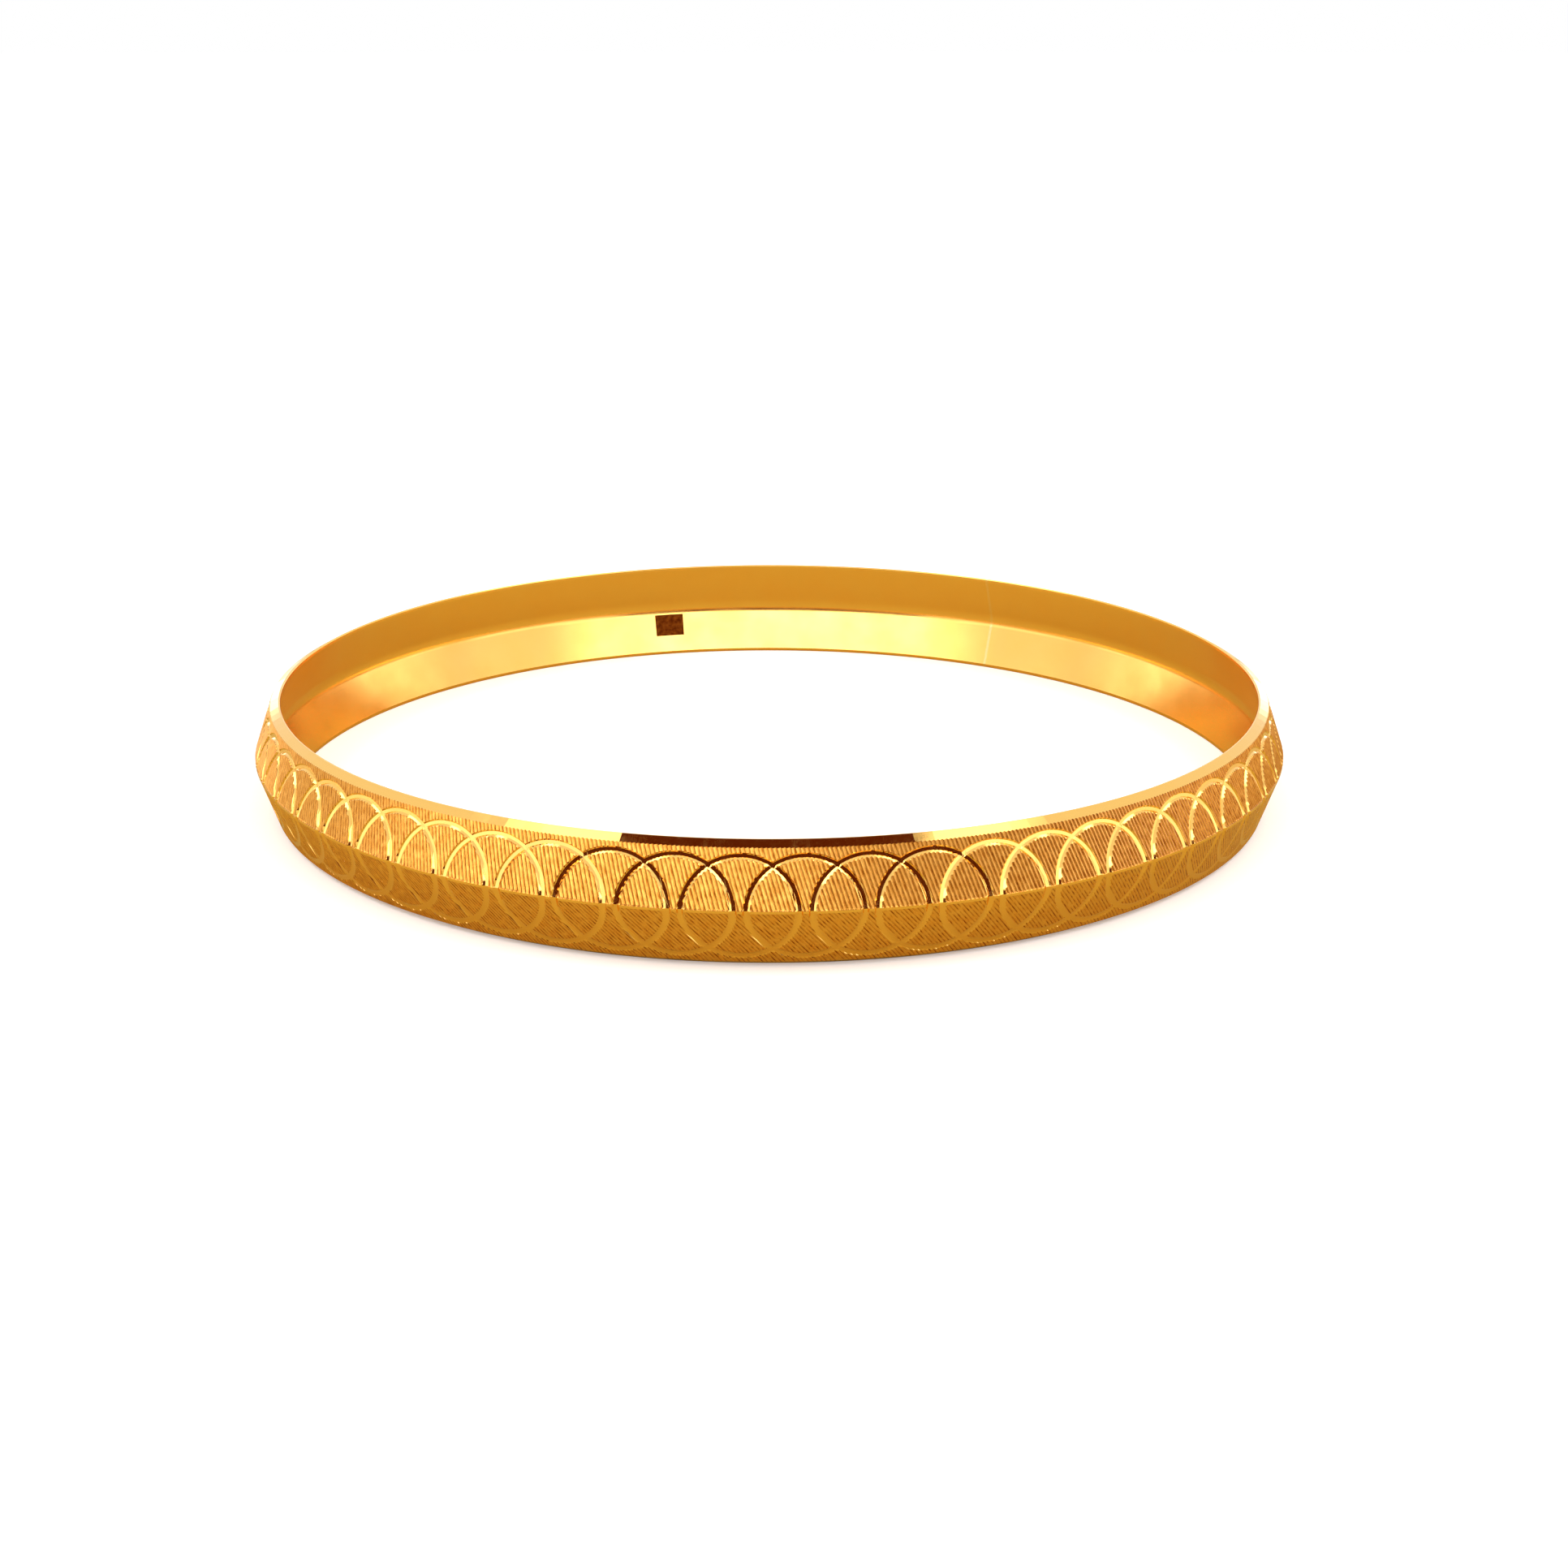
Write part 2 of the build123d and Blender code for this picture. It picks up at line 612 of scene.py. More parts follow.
@dataclass
class Ring:
    """The whole ring of metal, as the engraved strip and the solder that joins its ends.

    Attributes:
        section: The strip's section.
        engraving: The pattern cut into its outside.
        joint_bearing: Where the strip's two ends meet, in radians about Z from +X.
        joint_width: Gap between the ends along the ridge, in millimetres.
        panel_bearing: Bearing of the sunk panel's middle.
        panel_width: Size of the panel round the ring, in millimetres.
        panel_height: Its size along the flange.
        panel_depth: How deep it is sunk.
        panel_drop: Way from the ridge down to its middle.
    """

    section: Section
    engraving: Engraving
    joint_bearing: float = math.radians(57.8)
    joint_width: float = 0.2
    panel_bearing: float = math.radians(104.4)
    panel_width: float = 2.2
    panel_height: float = 1.8
    panel_depth: float = 0.08
    panel_drop: float = 1.15

    def __post_init__(self) -> None:
        """Makes the outside, the inside, the panel and the cut ends."""
        none = np.empty(0)
        self.metal = Metal(none, none, none, none, none)
        self.faces: list[Faces] = []
        self.rims: list[np.ndarray] = []
        self.ends: list[np.ndarray] = []
        self.engrave()
        self.line()
        self.close()

    @property
    def length(self) -> float:
        """Way round the ring along the ridge."""
        return self.engraving.pitch * self.engraving.repeats

    def in_joint(self, along: np.ndarray) -> np.ndarray:
        """Whether places along the ridge lie in the joint."""
        return (along < self.joint_width / 2) | (along > self.length - self.joint_width / 2)

    def add_faces(
        self, corners: np.ndarray, parts: np.ndarray, surface: Surface, solder: np.ndarray
    ) -> None:
        """Adds faces of one surface, from corner normals in radial, sideways and upward parts."""
        surfaces = np.full(len(corners), surface.value)
        self.faces.append(Faces(corners, self.metal.directions(corners, parts), surfaces, solder))

    def engrave(self) -> None:
        """Adds the engraved outside, repeat after repeat from the middle of the joint."""
        pitch, half = self.engraving.pitch, self.joint_width / 2
        plain = self.engraving.patch()
        patches = [self.engraving.patch((half,))] + [plain] * (self.engraving.repeats - 2)
        patches.append(self.engraving.patch((pitch - half,)))
        numbers = []
        for count, patch in enumerate(patches):
            own = patch.points[:, 0] < pitch - NEAR  # the far side belongs to the next repeat
            along, climb = patch.points[own, 0] + count * pitch, patch.points[own, 1]
            radius, height = self.section.place(climb, patch.depth[own]).T
            bearing = self.joint_bearing + along / self.section.ridge_radius
            number = np.zeros(len(own), int)
            number[own] = self.metal.add(
                along=along, climb=climb, radius=radius, height=height, bearing=bearing
            )
            numbers.append(number)
        for count, patch in enumerate(patches):
            following = (count + 1) % len(patches)
            numbers[count][patch.along(0, pitch)] = numbers[following][patches[following].along(0, 0.0)]
            corners = numbers[count][patch.triangles]
            middle, climb = patch.points[patch.triangles].mean(axis=1).T
            middle = middle + count * pitch
            normals = self.metal.directions(corners, patch.normals)
            on_bevel = np.abs(climb) > self.section.shoulder
            normals[on_bevel] = self.bevel(middle[on_bevel], climb[on_bevel])[:, None]
            self.faces.append(Faces(corners, normals, patch.surfaces, self.in_joint(middle)))
        for rim in (self.section.rim, -self.section.rim):
            pairs = zip(patches, numbers)
            self.rims.append(np.concatenate([number[patch.along(1, rim)[:-1]] for patch, number in pairs]))
        self.ends.append(numbers[0][patches[0].along(0, half)])
        self.ends.append(numbers[-1][patches[-1].along(0, pitch - half)])

    def bevel(self, along: np.ndarray, climb: np.ndarray) -> np.ndarray:
        """Finds normals that make the round bevels shine like rows of short facets.

        Args:
            along: Way along the ridge of places on the bevels.
            climb: Climb of the same places.

        Returns:
            The normal at each place, in X, Y and Z.
        """
        pattern = self.engraving
        step = pattern.pitch / pattern.facets
        facet = np.floor(along / step).astype(int)
        spread = np.random.default_rng(pattern.seed).normal(size=(2, 2, pattern.repeats * pattern.facets))
        off = np.clip(spread[:, (climb < 0).astype(int), facet], -pattern.worst, pattern.worst)
        turn, tip = pattern.unevenness * off
        bearing = self.joint_bearing + (facet + 0.5) * step / self.section.ridge_radius + turn
        tilt = self.section.tilt + tip
        flat = np.sin(tilt) * np.cos(bearing), np.sin(tilt) * np.sin(bearing)
        return np.column_stack([*flat, np.sign(climb) * np.cos(tilt)])

    def line(self) -> None:
        """Adds the smooth inside with its sunk panel."""
        half_panel = self.panel_height / 2 * math.cos(self.section.inner_lean)
        middle = self.section.middle - self.panel_drop
        corners, normals = self.section.inside((middle + half_panel, middle - half_panel))
        way = self.section.rim + np.append(0, np.cumsum(np.hypot(*np.diff(corners, axis=0).T)))
        upper, lower = self.rims
        along, bearing = self.metal.along[upper], self.metal.bearing[upper]
        radius, height = corners[1:-1].T[:, :, None]
        rows = self.metal.add(
            along=along, climb=way[1:-1, None], radius=radius, height=height, bearing=bearing
        )
        grid = np.vstack([upper, rows, lower])
        ring_on = np.roll(grid, -1, axis=1)
        solder = self.in_joint(along + np.diff(along, append=self.length) / 2)
        middles = bearing + np.diff(along, append=self.length) / 2 / self.section.ridge_radius
        on_panel = np.abs(middles - self.panel_bearing) < self.panel_width / 2 / self.section.wrist_radius
        panel_row = self.section.panel_stretch
        for row, ((radial_0, up_0), (radial_1, up_1)) in enumerate(normals):
            quads = np.column_stack([grid[row], ring_on[row], ring_on[row + 1], grid[row + 1]])
            parts = np.array([(radial_0, 0, up_0)] * 2 + [(radial_1, 0, up_1)] * 2)
            kept = ~on_panel if row == panel_row else np.full(len(quads), True)
            from_rim = min(row, len(normals) - 1 - row)
            surface = Surface.BRIGHT if from_rim <= self.section.rim_steps else Surface.INSIDE
            self.add_faces(quads[kept], parts, surface, solder[kept])
        columns = np.append(np.flatnonzero(on_panel), np.flatnonzero(on_panel)[-1] + 1)
        self.sink(grid[panel_row:panel_row + 2, columns])
        for number, end in enumerate(self.ends):
            column = np.flatnonzero(upper == end[-1])[0]
            self.ends[number] = np.append(end, rows[:, column])

    def sink(self, edge: np.ndarray) -> None:
        """Adds the sunk panel's floor and walls.

        Args:
            edge: Vertex numbers along the panel's upper and lower edges.
        """
        metal, lean = self.metal, self.section.inner_lean
        floor = metal.add(
            along=metal.along[edge],
            climb=metal.climb[edge],
            radius=metal.radius[edge] + self.panel_depth * math.cos(lean),
            height=metal.height[edge] - self.panel_depth * math.sin(lean),
            bearing=metal.bearing[edge],
        )
        facing = np.array([-math.cos(lean), 0, math.sin(lean)])
        downhill = np.array([-math.sin(lean), 0, -math.cos(lean)])
        along = np.array([0.0, 1.0, 0.0])
        strips = [
            ((floor[0, :-1], floor[0, 1:], floor[1, 1:], floor[1, :-1]), facing),
            ((edge[0, :-1], edge[0, 1:], floor[0, 1:], floor[0, :-1]), downhill),
            ((floor[1, :-1], floor[1, 1:], edge[1, 1:], edge[1, :-1]), -downhill),
            ((edge[:1, 0], floor[:1, 0], floor[1:, 0], edge[1:, 0]), along),
            ((edge[:1, -1], edge[1:, -1], floor[1:, -1], floor[:1, -1]), -along),
        ]
        for corners, normal in strips:
            quads = np.column_stack(corners)
            self.add_faces(quads, normal, Surface.PANEL, np.full(len(quads), False))

    def close(self) -> None:
        """Adds the cut ends, once facing out of the strip and once out of the solder."""
        for end, side in zip(self.ends, (1, -1)):
            for solder in (False, True):
                # Taken in order the outline faces back along the ridge.
                facing = side if solder else -side
                outline = end if facing < 0 else end[::-1]
                normal = np.array([0.0, facing, 0.0])
                self.add_faces(outline[None], normal, Surface.INSIDE, np.array([solder]))

    def piece(self, name: str, solder: bool) -> bpy.types.Object:
        """Makes one of the two pieces.

        Args:
            name: Name of the new object.
            solder: True for the solder, False for the strip.

        Returns:
            The object, with an empty list of materials.
        """
        parts = [(faces, faces.solder == solder) for faces in self.faces]
        corners = np.concatenate([faces.corners[own].ravel() for faces, own in parts])
        totals = np.concatenate([np.full(own.sum(), faces.corners.shape[1]) for faces, own in parts])
        normals = np.concatenate([faces.normals[own].reshape(-1, 3) for faces, own in parts])
        surfaces = np.concatenate([faces.surfaces[own] for faces, own in parts])
        used, corners = np.unique(corners, return_inverse=True)
        mesh = bpy.data.meshes.new(name)
        mesh.vertices.add(len(used))
        mesh.vertices.foreach_set("co", self.metal.places()[used].ravel())
        mesh.loops.add(len(corners))
        mesh.loops.foreach_set("vertex_index", corners)
        mesh.polygons.add(len(totals))
        mesh.polygons.foreach_set("loop_start", np.append(0, np.cumsum(totals)[:-1]))
        mesh.polygons.foreach_set("material_index", surfaces)
        mesh.polygons.foreach_set("use_smooth", np.full(len(totals), True))
        mesh.update(calc_edges=True)
        mesh.normals_split_custom_set(normals)
        strip = mesh.attributes.new("strip", "FLOAT_VECTOR", "POINT")
        along = self.metal.along[used]
        along = np.where(solder & (along > self.length / 2), along - self.length, along)
        places = np.column_stack([along, self.metal.climb[used], 0 * along])
        strip.data.foreach_set("vector", places.ravel())
        return put(name, mesh)


class Shader:
    """A material while it is put together."""

    def __init__(self, name: str, **inputs: float | tuple[float, ...]) -> None:
        """Starts a material with a bare surface.

        Args:
            name: Name of the material.
            **inputs: Values for the surface's inputs, with an underscore for each space.
        """
        self.material = bpy.data.materials.new(name)
        self.material.use_nodes = True
        self.nodes = self.material.node_tree.nodes
        self.surface = self.nodes["Principled BSDF"].inputs
        for key, value in inputs.items():
            self.surface[key.replace("_", " ")].default_value = value

    def link(self, source: Socket, target: Socket) -> None:
        """Joins two sockets."""
        self.material.node_tree.links.new(source, target)

    def add(self, kind: str, **settings: object) -> bpy.types.Node:
        """Adds a node.

        Args:
            kind: Type name of the node.
            **settings: The node's own properties.

        Returns:
            The node.
        """
        node = self.nodes.new(kind)
        for name, value in settings.items():
            setattr(node, name, value)
        return node

    def strip_place(self, scale: tuple[float, float, float], turn: float = 0.0) -> Socket:
        """Gives places on the strip, turned in its surface and then scaled.

        Args:
            scale: Scale along the ridge, across it and outwards.
            turn: Turn of the axes, in radians.

        Returns:
            The vector socket to feed into a texture.
        """
        place = self.add("ShaderNodeAttribute", attribute_name="strip")
        mapping = self.add("ShaderNodeMapping", vector_type="TEXTURE")
        mapping.inputs["Rotation"].default_value = (0.0, 0.0, turn)
        mapping.inputs["Scale"].default_value = tuple(1 / part for part in scale)
        self.link(place.outputs["Vector"], mapping.inputs["Vector"])
        return mapping.outputs["Vector"]

    def noise(self, place: Socket, detail: float) -> Socket:
        """Adds a noise texture.

        Args:
            place: Where it is looked up, in steps of the noise.
            detail: How many finer layers it has.

        Returns:
            Its value.
        """
        noise = self.add("ShaderNodeTexNoise")
        noise.inputs["Scale"].default_value = 1.0
        noise.inputs["Detail"].default_value = detail
        self.link(place, noise.inputs["Vector"])
        return noise.outputs["Fac"]

    def ranged(self, value: Socket, low: float = 0.0, high: float = 1.0) -> Socket:
        """Stretches the middle of a noise value over the range from low to high."""
        return self.mapped(value, NOISE_MIDDLE, (low, high))

    def mapped(
        self,
        value: Socket,
        start: tuple[float, float],
        end: tuple[float, float] = (0.0, 1.0),
        curve: str = "LINEAR",
    ) -> Socket:
        """Maps one range onto another.

        Args:
            value: The value to map.
            start: The range that it comes from.
            end: The range that it goes to.
            curve: Name of the kind of interpolation.

        Returns:
            The mapped value.
        """
        node = self.add("ShaderNodeMapRange", interpolation_type=curve)
        names = ("From Min", "From Max", "To Min", "To Max")
        for name, number in zip(names, (*start, *end)):
            node.inputs[name].default_value = number
        self.link(value, node.inputs["Value"])
        return node.outputs["Result"]

    def work_out(self, operation: str, first: Socket, second: Socket | float = 0.0) -> Socket:
        """Adds a sum.

        Args:
            operation: Name of the kind of sum.
            first: Its first value.
            second: Its second value, where it has one.

        Returns:
            The result.
        """
        node = self.add("ShaderNodeMath", operation=operation)
        self.link(first, node.inputs[0])
        if isinstance(second, Socket):
            self.link(second, node.inputs[1])
        else:
            node.inputs[1].default_value = second
        return node.outputs["Value"]

    def blend(self, value: Socket, first: Socket | Colour, second: Socket | Colour) -> Socket:
        """Blends two colours.

        Args:
            value: Share of the second colour, from nought to one.
            first: Colour at nought.
            second: Colour at one.

        Returns:
            The blended colour.
        """
        mix = self.add("ShaderNodeMix", data_type="RGBA")
        targets = [socket for socket in mix.inputs if socket.type == "RGBA"]
        for target, colour in zip(targets, (first, second)):
            if isinstance(colour, Socket):
                self.link(colour, target)
            else:
                target.default_value = (*colour, 1.0)
        self.link(value, mix.inputs["Factor"])
        return next(socket for socket in mix.outputs if socket.type == "RGBA")

    def relief(self, height: Socket, depth: float) -> None:
        """Adds a layer of relief over those already there.

        Args:
            height: Height of the relief, from nought to one.
            depth: Height of a full step, in millimetres.
        """
        bump = self.add("ShaderNodeBump")
        bump.inputs["Distance"].default_value = depth * MM
        self.link(height, bump.inputs["Height"])
        normal = self.surface["Normal"]
        if normal.is_linked:
            self.link(normal.links[0].from_socket, bump.inputs["Normal"])
        self.link(bump.outputs["Normal"], normal)


@dataclass(frozen=True)
class Lines:
    """Fine tool marks, all in one direction of the strip's surface."""

    turn: float  # direction of the marks, in degrees from along the ridge towards the upper rim
    width: float  # across one mark, in millimetres
    length: float  # of one mark, in millimetres
    depth: float  # in millimetres


@dataclass(frozen=True)
class GoldFinish:
    """Gold as one way of working leaves it."""

    name: str
    colour: Colour
    deeper: Colour  # colour in the duller patches
    roughness: tuple[float, float]  # of the brightest and of the dullest patches
    patches: float  # size of the patches, in millimetres
    lines: tuple[Lines, ...] = ()
    waviness: tuple[float, float] = (0.0, 1.0)  # height and length of gentle waves, in millimetres

    def material(self) -> bpy.types.Material:
        """Makes the material.

        Returns:
            The finished material.
        """
        shader = Shader(self.name, Metallic=1.0)
        cloud = shader.noise(shader.strip_place((1 / self.patches,) * 3), detail=4.0)
        shader.link(self.tint(shader, cloud), shader.surface["Base Color"])
        shader.link(shader.ranged(cloud, *self.roughness), shader.surface["Roughness"])
        height, length = self.waviness
        if height:
            shader.relief(shader.noise(shader.strip_place((1 / length,) * 3), detail=0.0), height)
        for lines in self.lines:
            scale = (1 / lines.length, 1 / lines.width, 1.0)
            marks = shader.noise(shader.strip_place(scale, math.radians(lines.turn)), detail=1.0)
            shader.relief(marks, lines.depth)
        return shader.material

    def tint(self, shader: Shader, cloud: Socket) -> Socket:
        """Works out the gold's colour from the cloud of duller patches."""
        return shader.blend(shader.ranged(cloud), self.colour, self.deeper)


@dataclass(frozen=True)
class HatchedFinish(GoldFinish):
    """Gold ground with painted shade in the bottoms of its grooves, more in some stretches than in others.
    """

    # painted shade laid into the bottoms of the grooves
    groove_shade: Colour = (0.34, 0.10, 0.008)
    shade_width: float = 0.22  # share of a groove's width that has painted shade, on each side of its bottom
    dash: float = 0.4  # length of a stretch of painted shade, in millimetres
    hatching: Hatching = Hatching(1, 0.0, 0.5, 0.0)
    step: float = 1.0  # from groove to groove, in millimetres

    def tint(self, shader: Shader, cloud: Socket) -> Socket:
        """Works out the gold's colour, with painted shade in the bottoms of the grooves.

        Args:
            shader: The material in the making.
            cloud: The cloud of duller patches.

        Returns:
            The colour.
        """
        apart = shader.add("ShaderNodeSeparateXYZ")
        shader.link(shader.strip_place((1.0, 1.0, 1.0)), apart.inputs["Vector"])
        leaning = shader.work_out("MULTIPLY", apart.outputs["Y"], self.hatching.lean)
        across = shader.work_out("DIVIDE", shader.work_out("ADD", apart.outputs["X"], leaning), self.step)
        phase = shader.work_out("SUBTRACT", shader.work_out("FRACT", across), self.hatching.bottom)
        off_bottom = shader.work_out("ABSOLUTE", phase)
        groove = shader.mapped(off_bottom, (self.shade_width, self.shade_width / 2), curve="SMOOTHSTEP")
        turn = math.pi / 2 + math.atan(self.hatching.lean)
        dashes = shader.noise(shader.strip_place((1 / self.dash, 1 / self.step, 1.0), turn), detail=1.0)
        # painted shade in the groove bottoms, broken into stretches by the noise
        painted_groove_shade = shader.work_out("MULTIPLY", groove, shader.ranged(dashes))
        return shader.blend(painted_groove_shade, super().tint(shader, cloud), self.groove_shade)


GOLD = (0.98, 0.58, 0.15)
DEEP_GOLD = (0.97, 0.55, 0.13)
SHADED_UPPER_GOLD = (0.70, 0.33, 0.068), (0.59, 0.245, 0.038)  # painted shade: darker than the lower flange's gold; as cut, and in duller patches
LOWER_GOLD = (0.95, 0.53, 0.12), (0.87, 0.42, 0.07)
BRIGHT_CUT = GoldFinish(
    "bright_cut_gold", GOLD, GOLD, (0.05, 0.10), 0.4,
    lines=(Lines(0.0, 0.02, 2.0, 0.0003),),
)
POLISHED = GoldFinish(
    "polished_gold", GOLD, DEEP_GOLD, (0.17, 0.24), 2.5,
    lines=(Lines(2.0, 0.05, 6.0, 0.0008),),
    waviness=(0.01, 3.0),
)
SUNK = GoldFinish(
    "sunk_gold", (0.17, 0.04, 0.004), (0.08, 0.012, 0.001), (0.4, 0.55), 0.3,
    lines=(Lines(0.0, 0.1, 0.1, 0.01),),
)
SOLDERED = GoldFinish(
    "solder_gold", (0.97, 0.66, 0.27), (0.93, 0.58, 0.2), (0.16, 0.28), 0.2,
    lines=(Lines(90.0, 0.05, 0.1, 0.002),),
)


@dataclass
class Bangle:
    """The bangle: the engraved strip and the solder in its joint."""

    wrist_radius: float
    height: float

    @classmethod
    def from_frame(cls) -> "Bangle":
        """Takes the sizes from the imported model.

        Returns:
            The bangle in its real size.
        """
        bore = next(mount for mount in frame["record"]["mounts"] if mount["name"] == "wrist_bore")
        low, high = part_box("band")
        return cls(bore["dims"]["r_mm"], (high[2] - low[2]) / MM)

    def finishes(self, engraving: Engraving) -> dict[Surface, GoldFinish]:
        """Chooses the finish of each surface of the strip.

        Args:
            engraving: The pattern, whose grooves the hatched finishes follow.

        Returns:
            The finish of each surface, in the order of the material slots.
        """
        hatched = []
        # each row ends with the share of a groove's width that has painted shade
        for name, hatching, colours, shade_width in (
            ("hatched_gold", engraving.upper, SHADED_UPPER_GOLD, 0.34),
            ("finely_hatched_gold", engraving.lower, LOWER_GOLD, 0.24),
        ):
            step = engraving.pitch / hatching.grooves
            turn = 90.0 + math.degrees(math.atan(hatching.lean))
            hatched.append(HatchedFinish(
                name, *colours, roughness=(0.2, 0.28), patches=0.5,
                lines=(Lines(turn, 0.05, 0.4, 0.01),),
                shade_width=shade_width, hatching=hatching, step=step,
            ))
        return dict(zip(Surface, (*hatched, BRIGHT_CUT, POLISHED, SUNK)))

    def build(self) -> list[bpy.types.Object]:
        """Builds both pieces, dresses them and puts them in the place of their nodes.

        Returns:
            The strip and the solder.
        """
        engraving = Engraving(Section(self.wrist_radius, self.height))
        ring = Ring(engraving.section, engraving)
        finishes = {surface: finish.material() for surface, finish in self.finishes(engraving).items()}
        solder = SOLDERED.material()
        pieces = []
        for name, node, slot in (
            ("engraved_band", "band", "gold_strip"),
            ("soldered_joint", "solder_joint", "gold_solder"),
        ):
            in_joint = node == "solder_joint"
            piece = ring.piece(name, in_joint)
            for surface in Surface:
                piece.data.materials.append(solder if in_joint else finishes[surface])
            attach(piece, "root")
            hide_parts(node)
            log.info("%s: %d vertices, %d faces", name, len(piece.data.vertices), len(piece.data.polygons))
            pieces.append(piece)
        return pieces


AMBIENT = 1.0  # brightness of the light from all round
SHADE_FLAG = (0.10, 0.016, 0.0)  # radiance of a flag, a dim sheet seen only in reflections: painted shade, tinted red-brown as painted gold bounce


def grey(level: float) -> Colour:
    """The neutral colour of a brightness."""
    return level, level, level


@dataclass(frozen=True)
class Card:
    """A flat card that the gold reflects, with soft edges; angles are in degrees as seen from the ring."""

    name: str
    light: Colour  # radiance
    bearing: float  # from the front towards +X
    elevation: float
    width: float
    height: float
    distance: float = 0.5
    edge: float = 0.25  # share of the half width over which it fades
    rest: float = AMBIENT  # radiance that it fades into

    def build(self, centre: Vector) -> bpy.types.Object:
        """Sets up the card.

        Args:
            centre: The centre of the ring, which it faces.

        Returns:
            The card, seen only in reflections.
        """
        bearing, elevation = math.radians(self.bearing), math.radians(self.elevation)
        level = Vector((math.sin(bearing), -math.cos(bearing), 0.0))
        out = level * math.cos(elevation) + Vector((0.0, 0.0, math.sin(elevation)))
        turn = out.to_track_quat("Z", "Y")
        half_width = self.distance * math.tan(math.radians(self.width / 2))
        half_height = self.distance * math.tan(math.radians(self.height / 2))
        marks = (-1.0, self.edge - 1.0, 1.0 - self.edge, 1.0)
        corners = [Vector((x * half_width, y * half_height, self.distance)) for y in marks for x in marks]
        row = len(marks)
        starts = [row * y + x for y in range(row - 1) for x in range(row - 1)]
        faces = [(start, start + 1, start + row + 1, start + row) for start in starts]
        mesh = bpy.data.meshes.new(self.name)
        mesh.from_pydata([centre + turn @ corner for corner in corners], [], faces)
        fade = mesh.attributes.new("fade", "FLOAT", "POINT")
        fade.data.foreach_set("value", [float(max(abs(x), abs(y)) < 1) for y in marks for x in marks])
        mesh.materials.append(self.glow())
        card = put(self.name, mesh)
        card.visible_camera = False
        card.visible_shadow = False
        return card

    def glow(self) -> bpy.types.Material:
        """Makes the card's own light, fading at its edges.

        Returns:
            The glowing material.
        """
        shader = Shader(self.name)
        fade = shader.add("ShaderNodeAttribute", attribute_name="fade")
        light = shader.blend(fade.outputs["Fac"], grey(self.rest), self.light)
        glow = shader.add("ShaderNodeEmission")
        shader.link(light, glow.inputs["Color"])
        shader.link(glow.outputs["Emission"], shader.nodes["Material Output"].inputs["Surface"])
        return shader.material


CARDS = (
    # the front flag glows faintly red-brown: painted shade with painted gold bounce, seen only in
    # reflections
    Card("front_flag", SHADE_FLAG, 0.0, 4.0, 80.0, 31.0, edge=0.08),
    Card("front_box", grey(3.6), 0.0, 25.0, 110.0, 14.0, distance=0.48, edge=0.5, rest=2.5),
    Card("wide_box", grey(1.9), 0.0, 25.0, 180.0, 13.0, edge=0.15),
    Card("left_box", grey(1.7), -63.0, 3.0, 44.0, 28.0, edge=0.2),
    Card("right_box", grey(1.7), 63.0, 3.0, 44.0, 28.0, edge=0.2),
    Card("left_side", grey(1.9), -107.0, 2.0, 38.0, 24.0, edge=0.3),
    Card("right_side", grey(1.9), 107.0, 2.0, 38.0, 24.0, edge=0.3),
    Card("left_back", grey(2.4), -150.0, -1.0, 56.0, 26.0, edge=0.3),
    Card("right_back", grey(2.6), 150.0, -1.0, 56.0, 26.0, edge=0.3),
    Card("left_tall", grey(4.0), -82.0, 52.0, 34.0, 30.0, distance=0.55, edge=0.2),
    Card("right_tall", grey(4.0), 82.0, 52.0, 34.0, 30.0, distance=0.55, edge=0.2),
    # the top flag glows faintly red-brown: painted shade with painted gold bounce, seen only in
    # reflections
    Card("top_flag", SHADE_FLAG, 180.0, 76.0, 32.0, 24.0, edge=0.03),
    Card("top_box", grey(2.4), 180.0, 72.0, 52.0, 34.0, distance=0.52, edge=0.1),
)


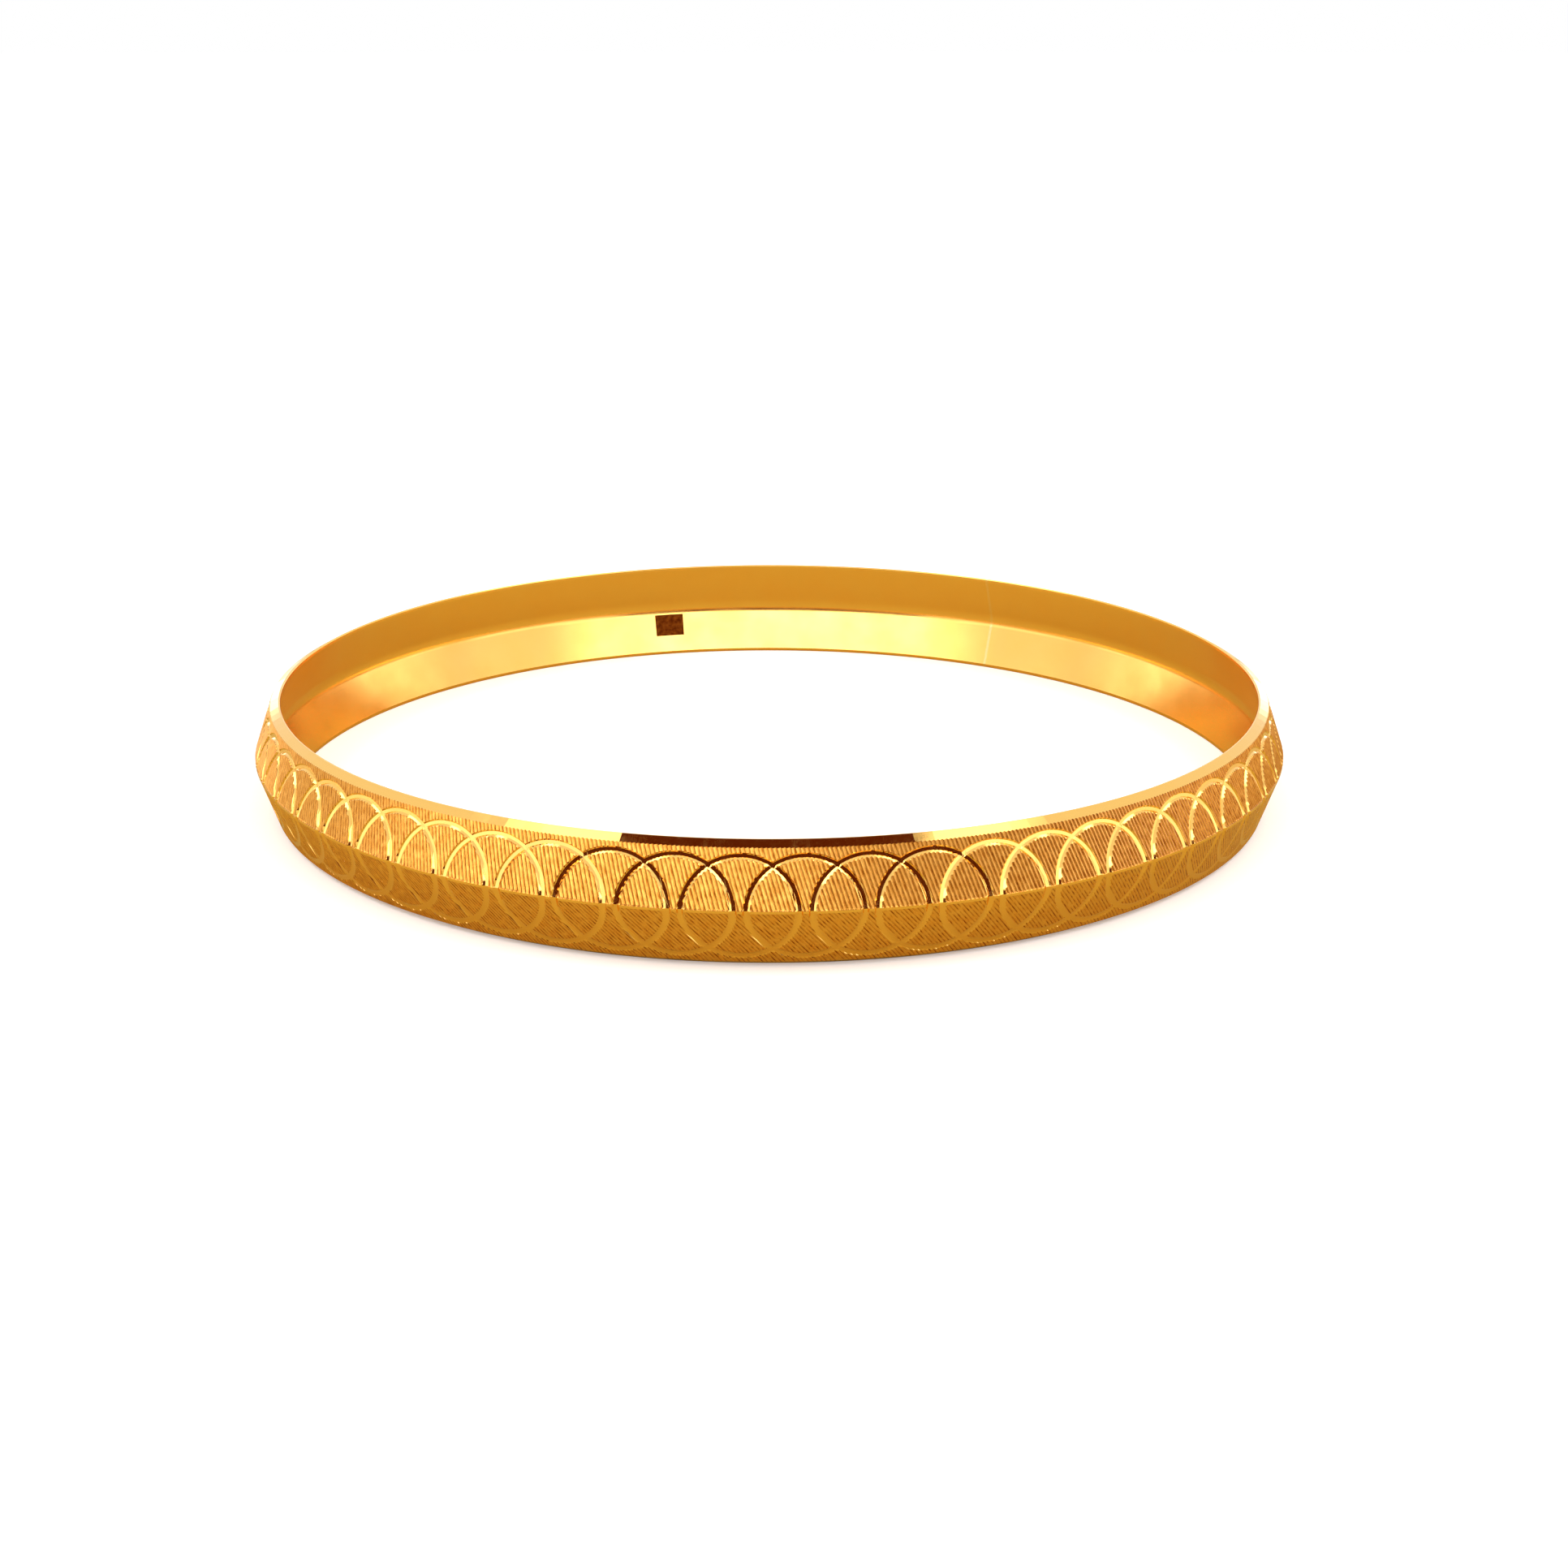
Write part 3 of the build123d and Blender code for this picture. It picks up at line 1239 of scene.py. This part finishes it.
@dataclass
class Studio:
    """Pale floor, soft light all round, cards for the gold to reflect, and the camera."""

    target: Vector
    distance: float = 0.14185
    elevation: float = 17.153
    lens: float = 51.36
    shift: tuple[float, float] = (0.0094, -0.0378)
    near_clip: float = 0.01
    floor_radius: float = 6.0
    floor_sides: int = 96
    floor_roughness: float = 0.9
    floor_near_shadow_and_bounce: Colour = (0.48, 0.37, 0.115)  # painted shadow of the ring, warmed by painted gold bounce, as the gold sees it, close to the ring's axis
    floor_far: Colour = (0.90, 0.84, 0.72)  # as the gold sees it, further off
    floor_shown: Colour = (0.85, 0.85, 0.85)  # as the camera sees it
    shadow_reach: tuple[float, float] = (0.045, 0.10)  # from the axis, over which the painted shadow near the ring turns into the far floor
    floor_lift: float = 0.2  # light that the floor adds for the camera, so that it stays pale far away

    def build(self) -> None:
        """Sets up the whole studio."""
        self.lay_floor()
        self.light()
        for card in CARDS:
            card.build(self.target)
        self.place_camera()
        bpy.context.scene.view_settings.view_transform = "Standard"

    def lay_floor(self) -> None:
        """Lays a round floor that the gold sees in other colours than the camera does, with a painted
        shadow and painted warm bounce round the ring.
        """
        turns = np.linspace(0, math.tau, self.floor_sides, endpoint=False)
        rim = self.floor_radius * np.column_stack([np.cos(turns), np.sin(turns), 0 * turns])
        mesh = bpy.data.meshes.new("floor")
        mesh.from_pydata(rim.tolist(), [], [tuple(range(len(rim)))])
        floor = put("floor", mesh)
        shader = Shader(
            "pale_floor",
            Roughness=self.floor_roughness, Specular_IOR_Level=0.0, Emission_Color=WHITE,
        )
        place = shader.add("ShaderNodeTexCoord")
        away = shader.add("ShaderNodeVectorMath", operation="LENGTH")
        shader.link(place.outputs["Object"], away.inputs[0])
        from_camera = shader.add("ShaderNodeLightPath").outputs["Is Camera Ray"]
        # painted shadow of the ring, warmed by painted gold bounce near its axis and fading into the far
        # floor; only reflections see it
        reach = shader.mapped(away.outputs["Value"], self.shadow_reach)
        seen = shader.blend(reach, self.floor_near_shadow_and_bounce, self.floor_far)
        shade = shader.blend(from_camera, seen, self.floor_shown)
        lift = shader.work_out("MULTIPLY", from_camera, self.floor_lift)
        shader.link(shade, shader.surface["Base Color"])
        shader.link(lift, shader.surface["Emission Strength"])
        mesh.materials.append(shader.material)

    def light(self) -> None:
        """Lights everything evenly from all round."""
        world = bpy.data.worlds.new("studio")
        bpy.context.scene.world = world
        world.use_nodes = True
        sky = world.node_tree.nodes["Background"].inputs
        sky["Color"].default_value = WHITE
        sky["Strength"].default_value = AMBIENT

    def place_camera(self) -> None:
        """Looks at the ring from the front and a little above."""
        camera = bpy.data.cameras.new("camera")
        camera.lens = self.lens
        camera.shift_x, camera.shift_y = self.shift
        camera.clip_start = self.near_clip
        eye = put("camera", camera)
        elevation = math.radians(self.elevation)
        away = Vector((0.0, -math.cos(elevation), math.sin(elevation)))
        eye.location = self.target + away * self.distance
        eye.rotation_euler = (math.pi / 2 - elevation, 0.0, 0.0)
        bpy.context.scene.camera = eye


def main() -> None:
    """Builds the studio and the bangle, and notes the sizes."""
    logging.basicConfig(level=logging.INFO, format="%(name)s: %(message)s")
    bangle = Bangle.from_frame()
    Studio(Vector((0.0, 0.0, bangle.height / 2 * MM))).build()
    bangle.build()


if __name__ == "__main__":
    main()
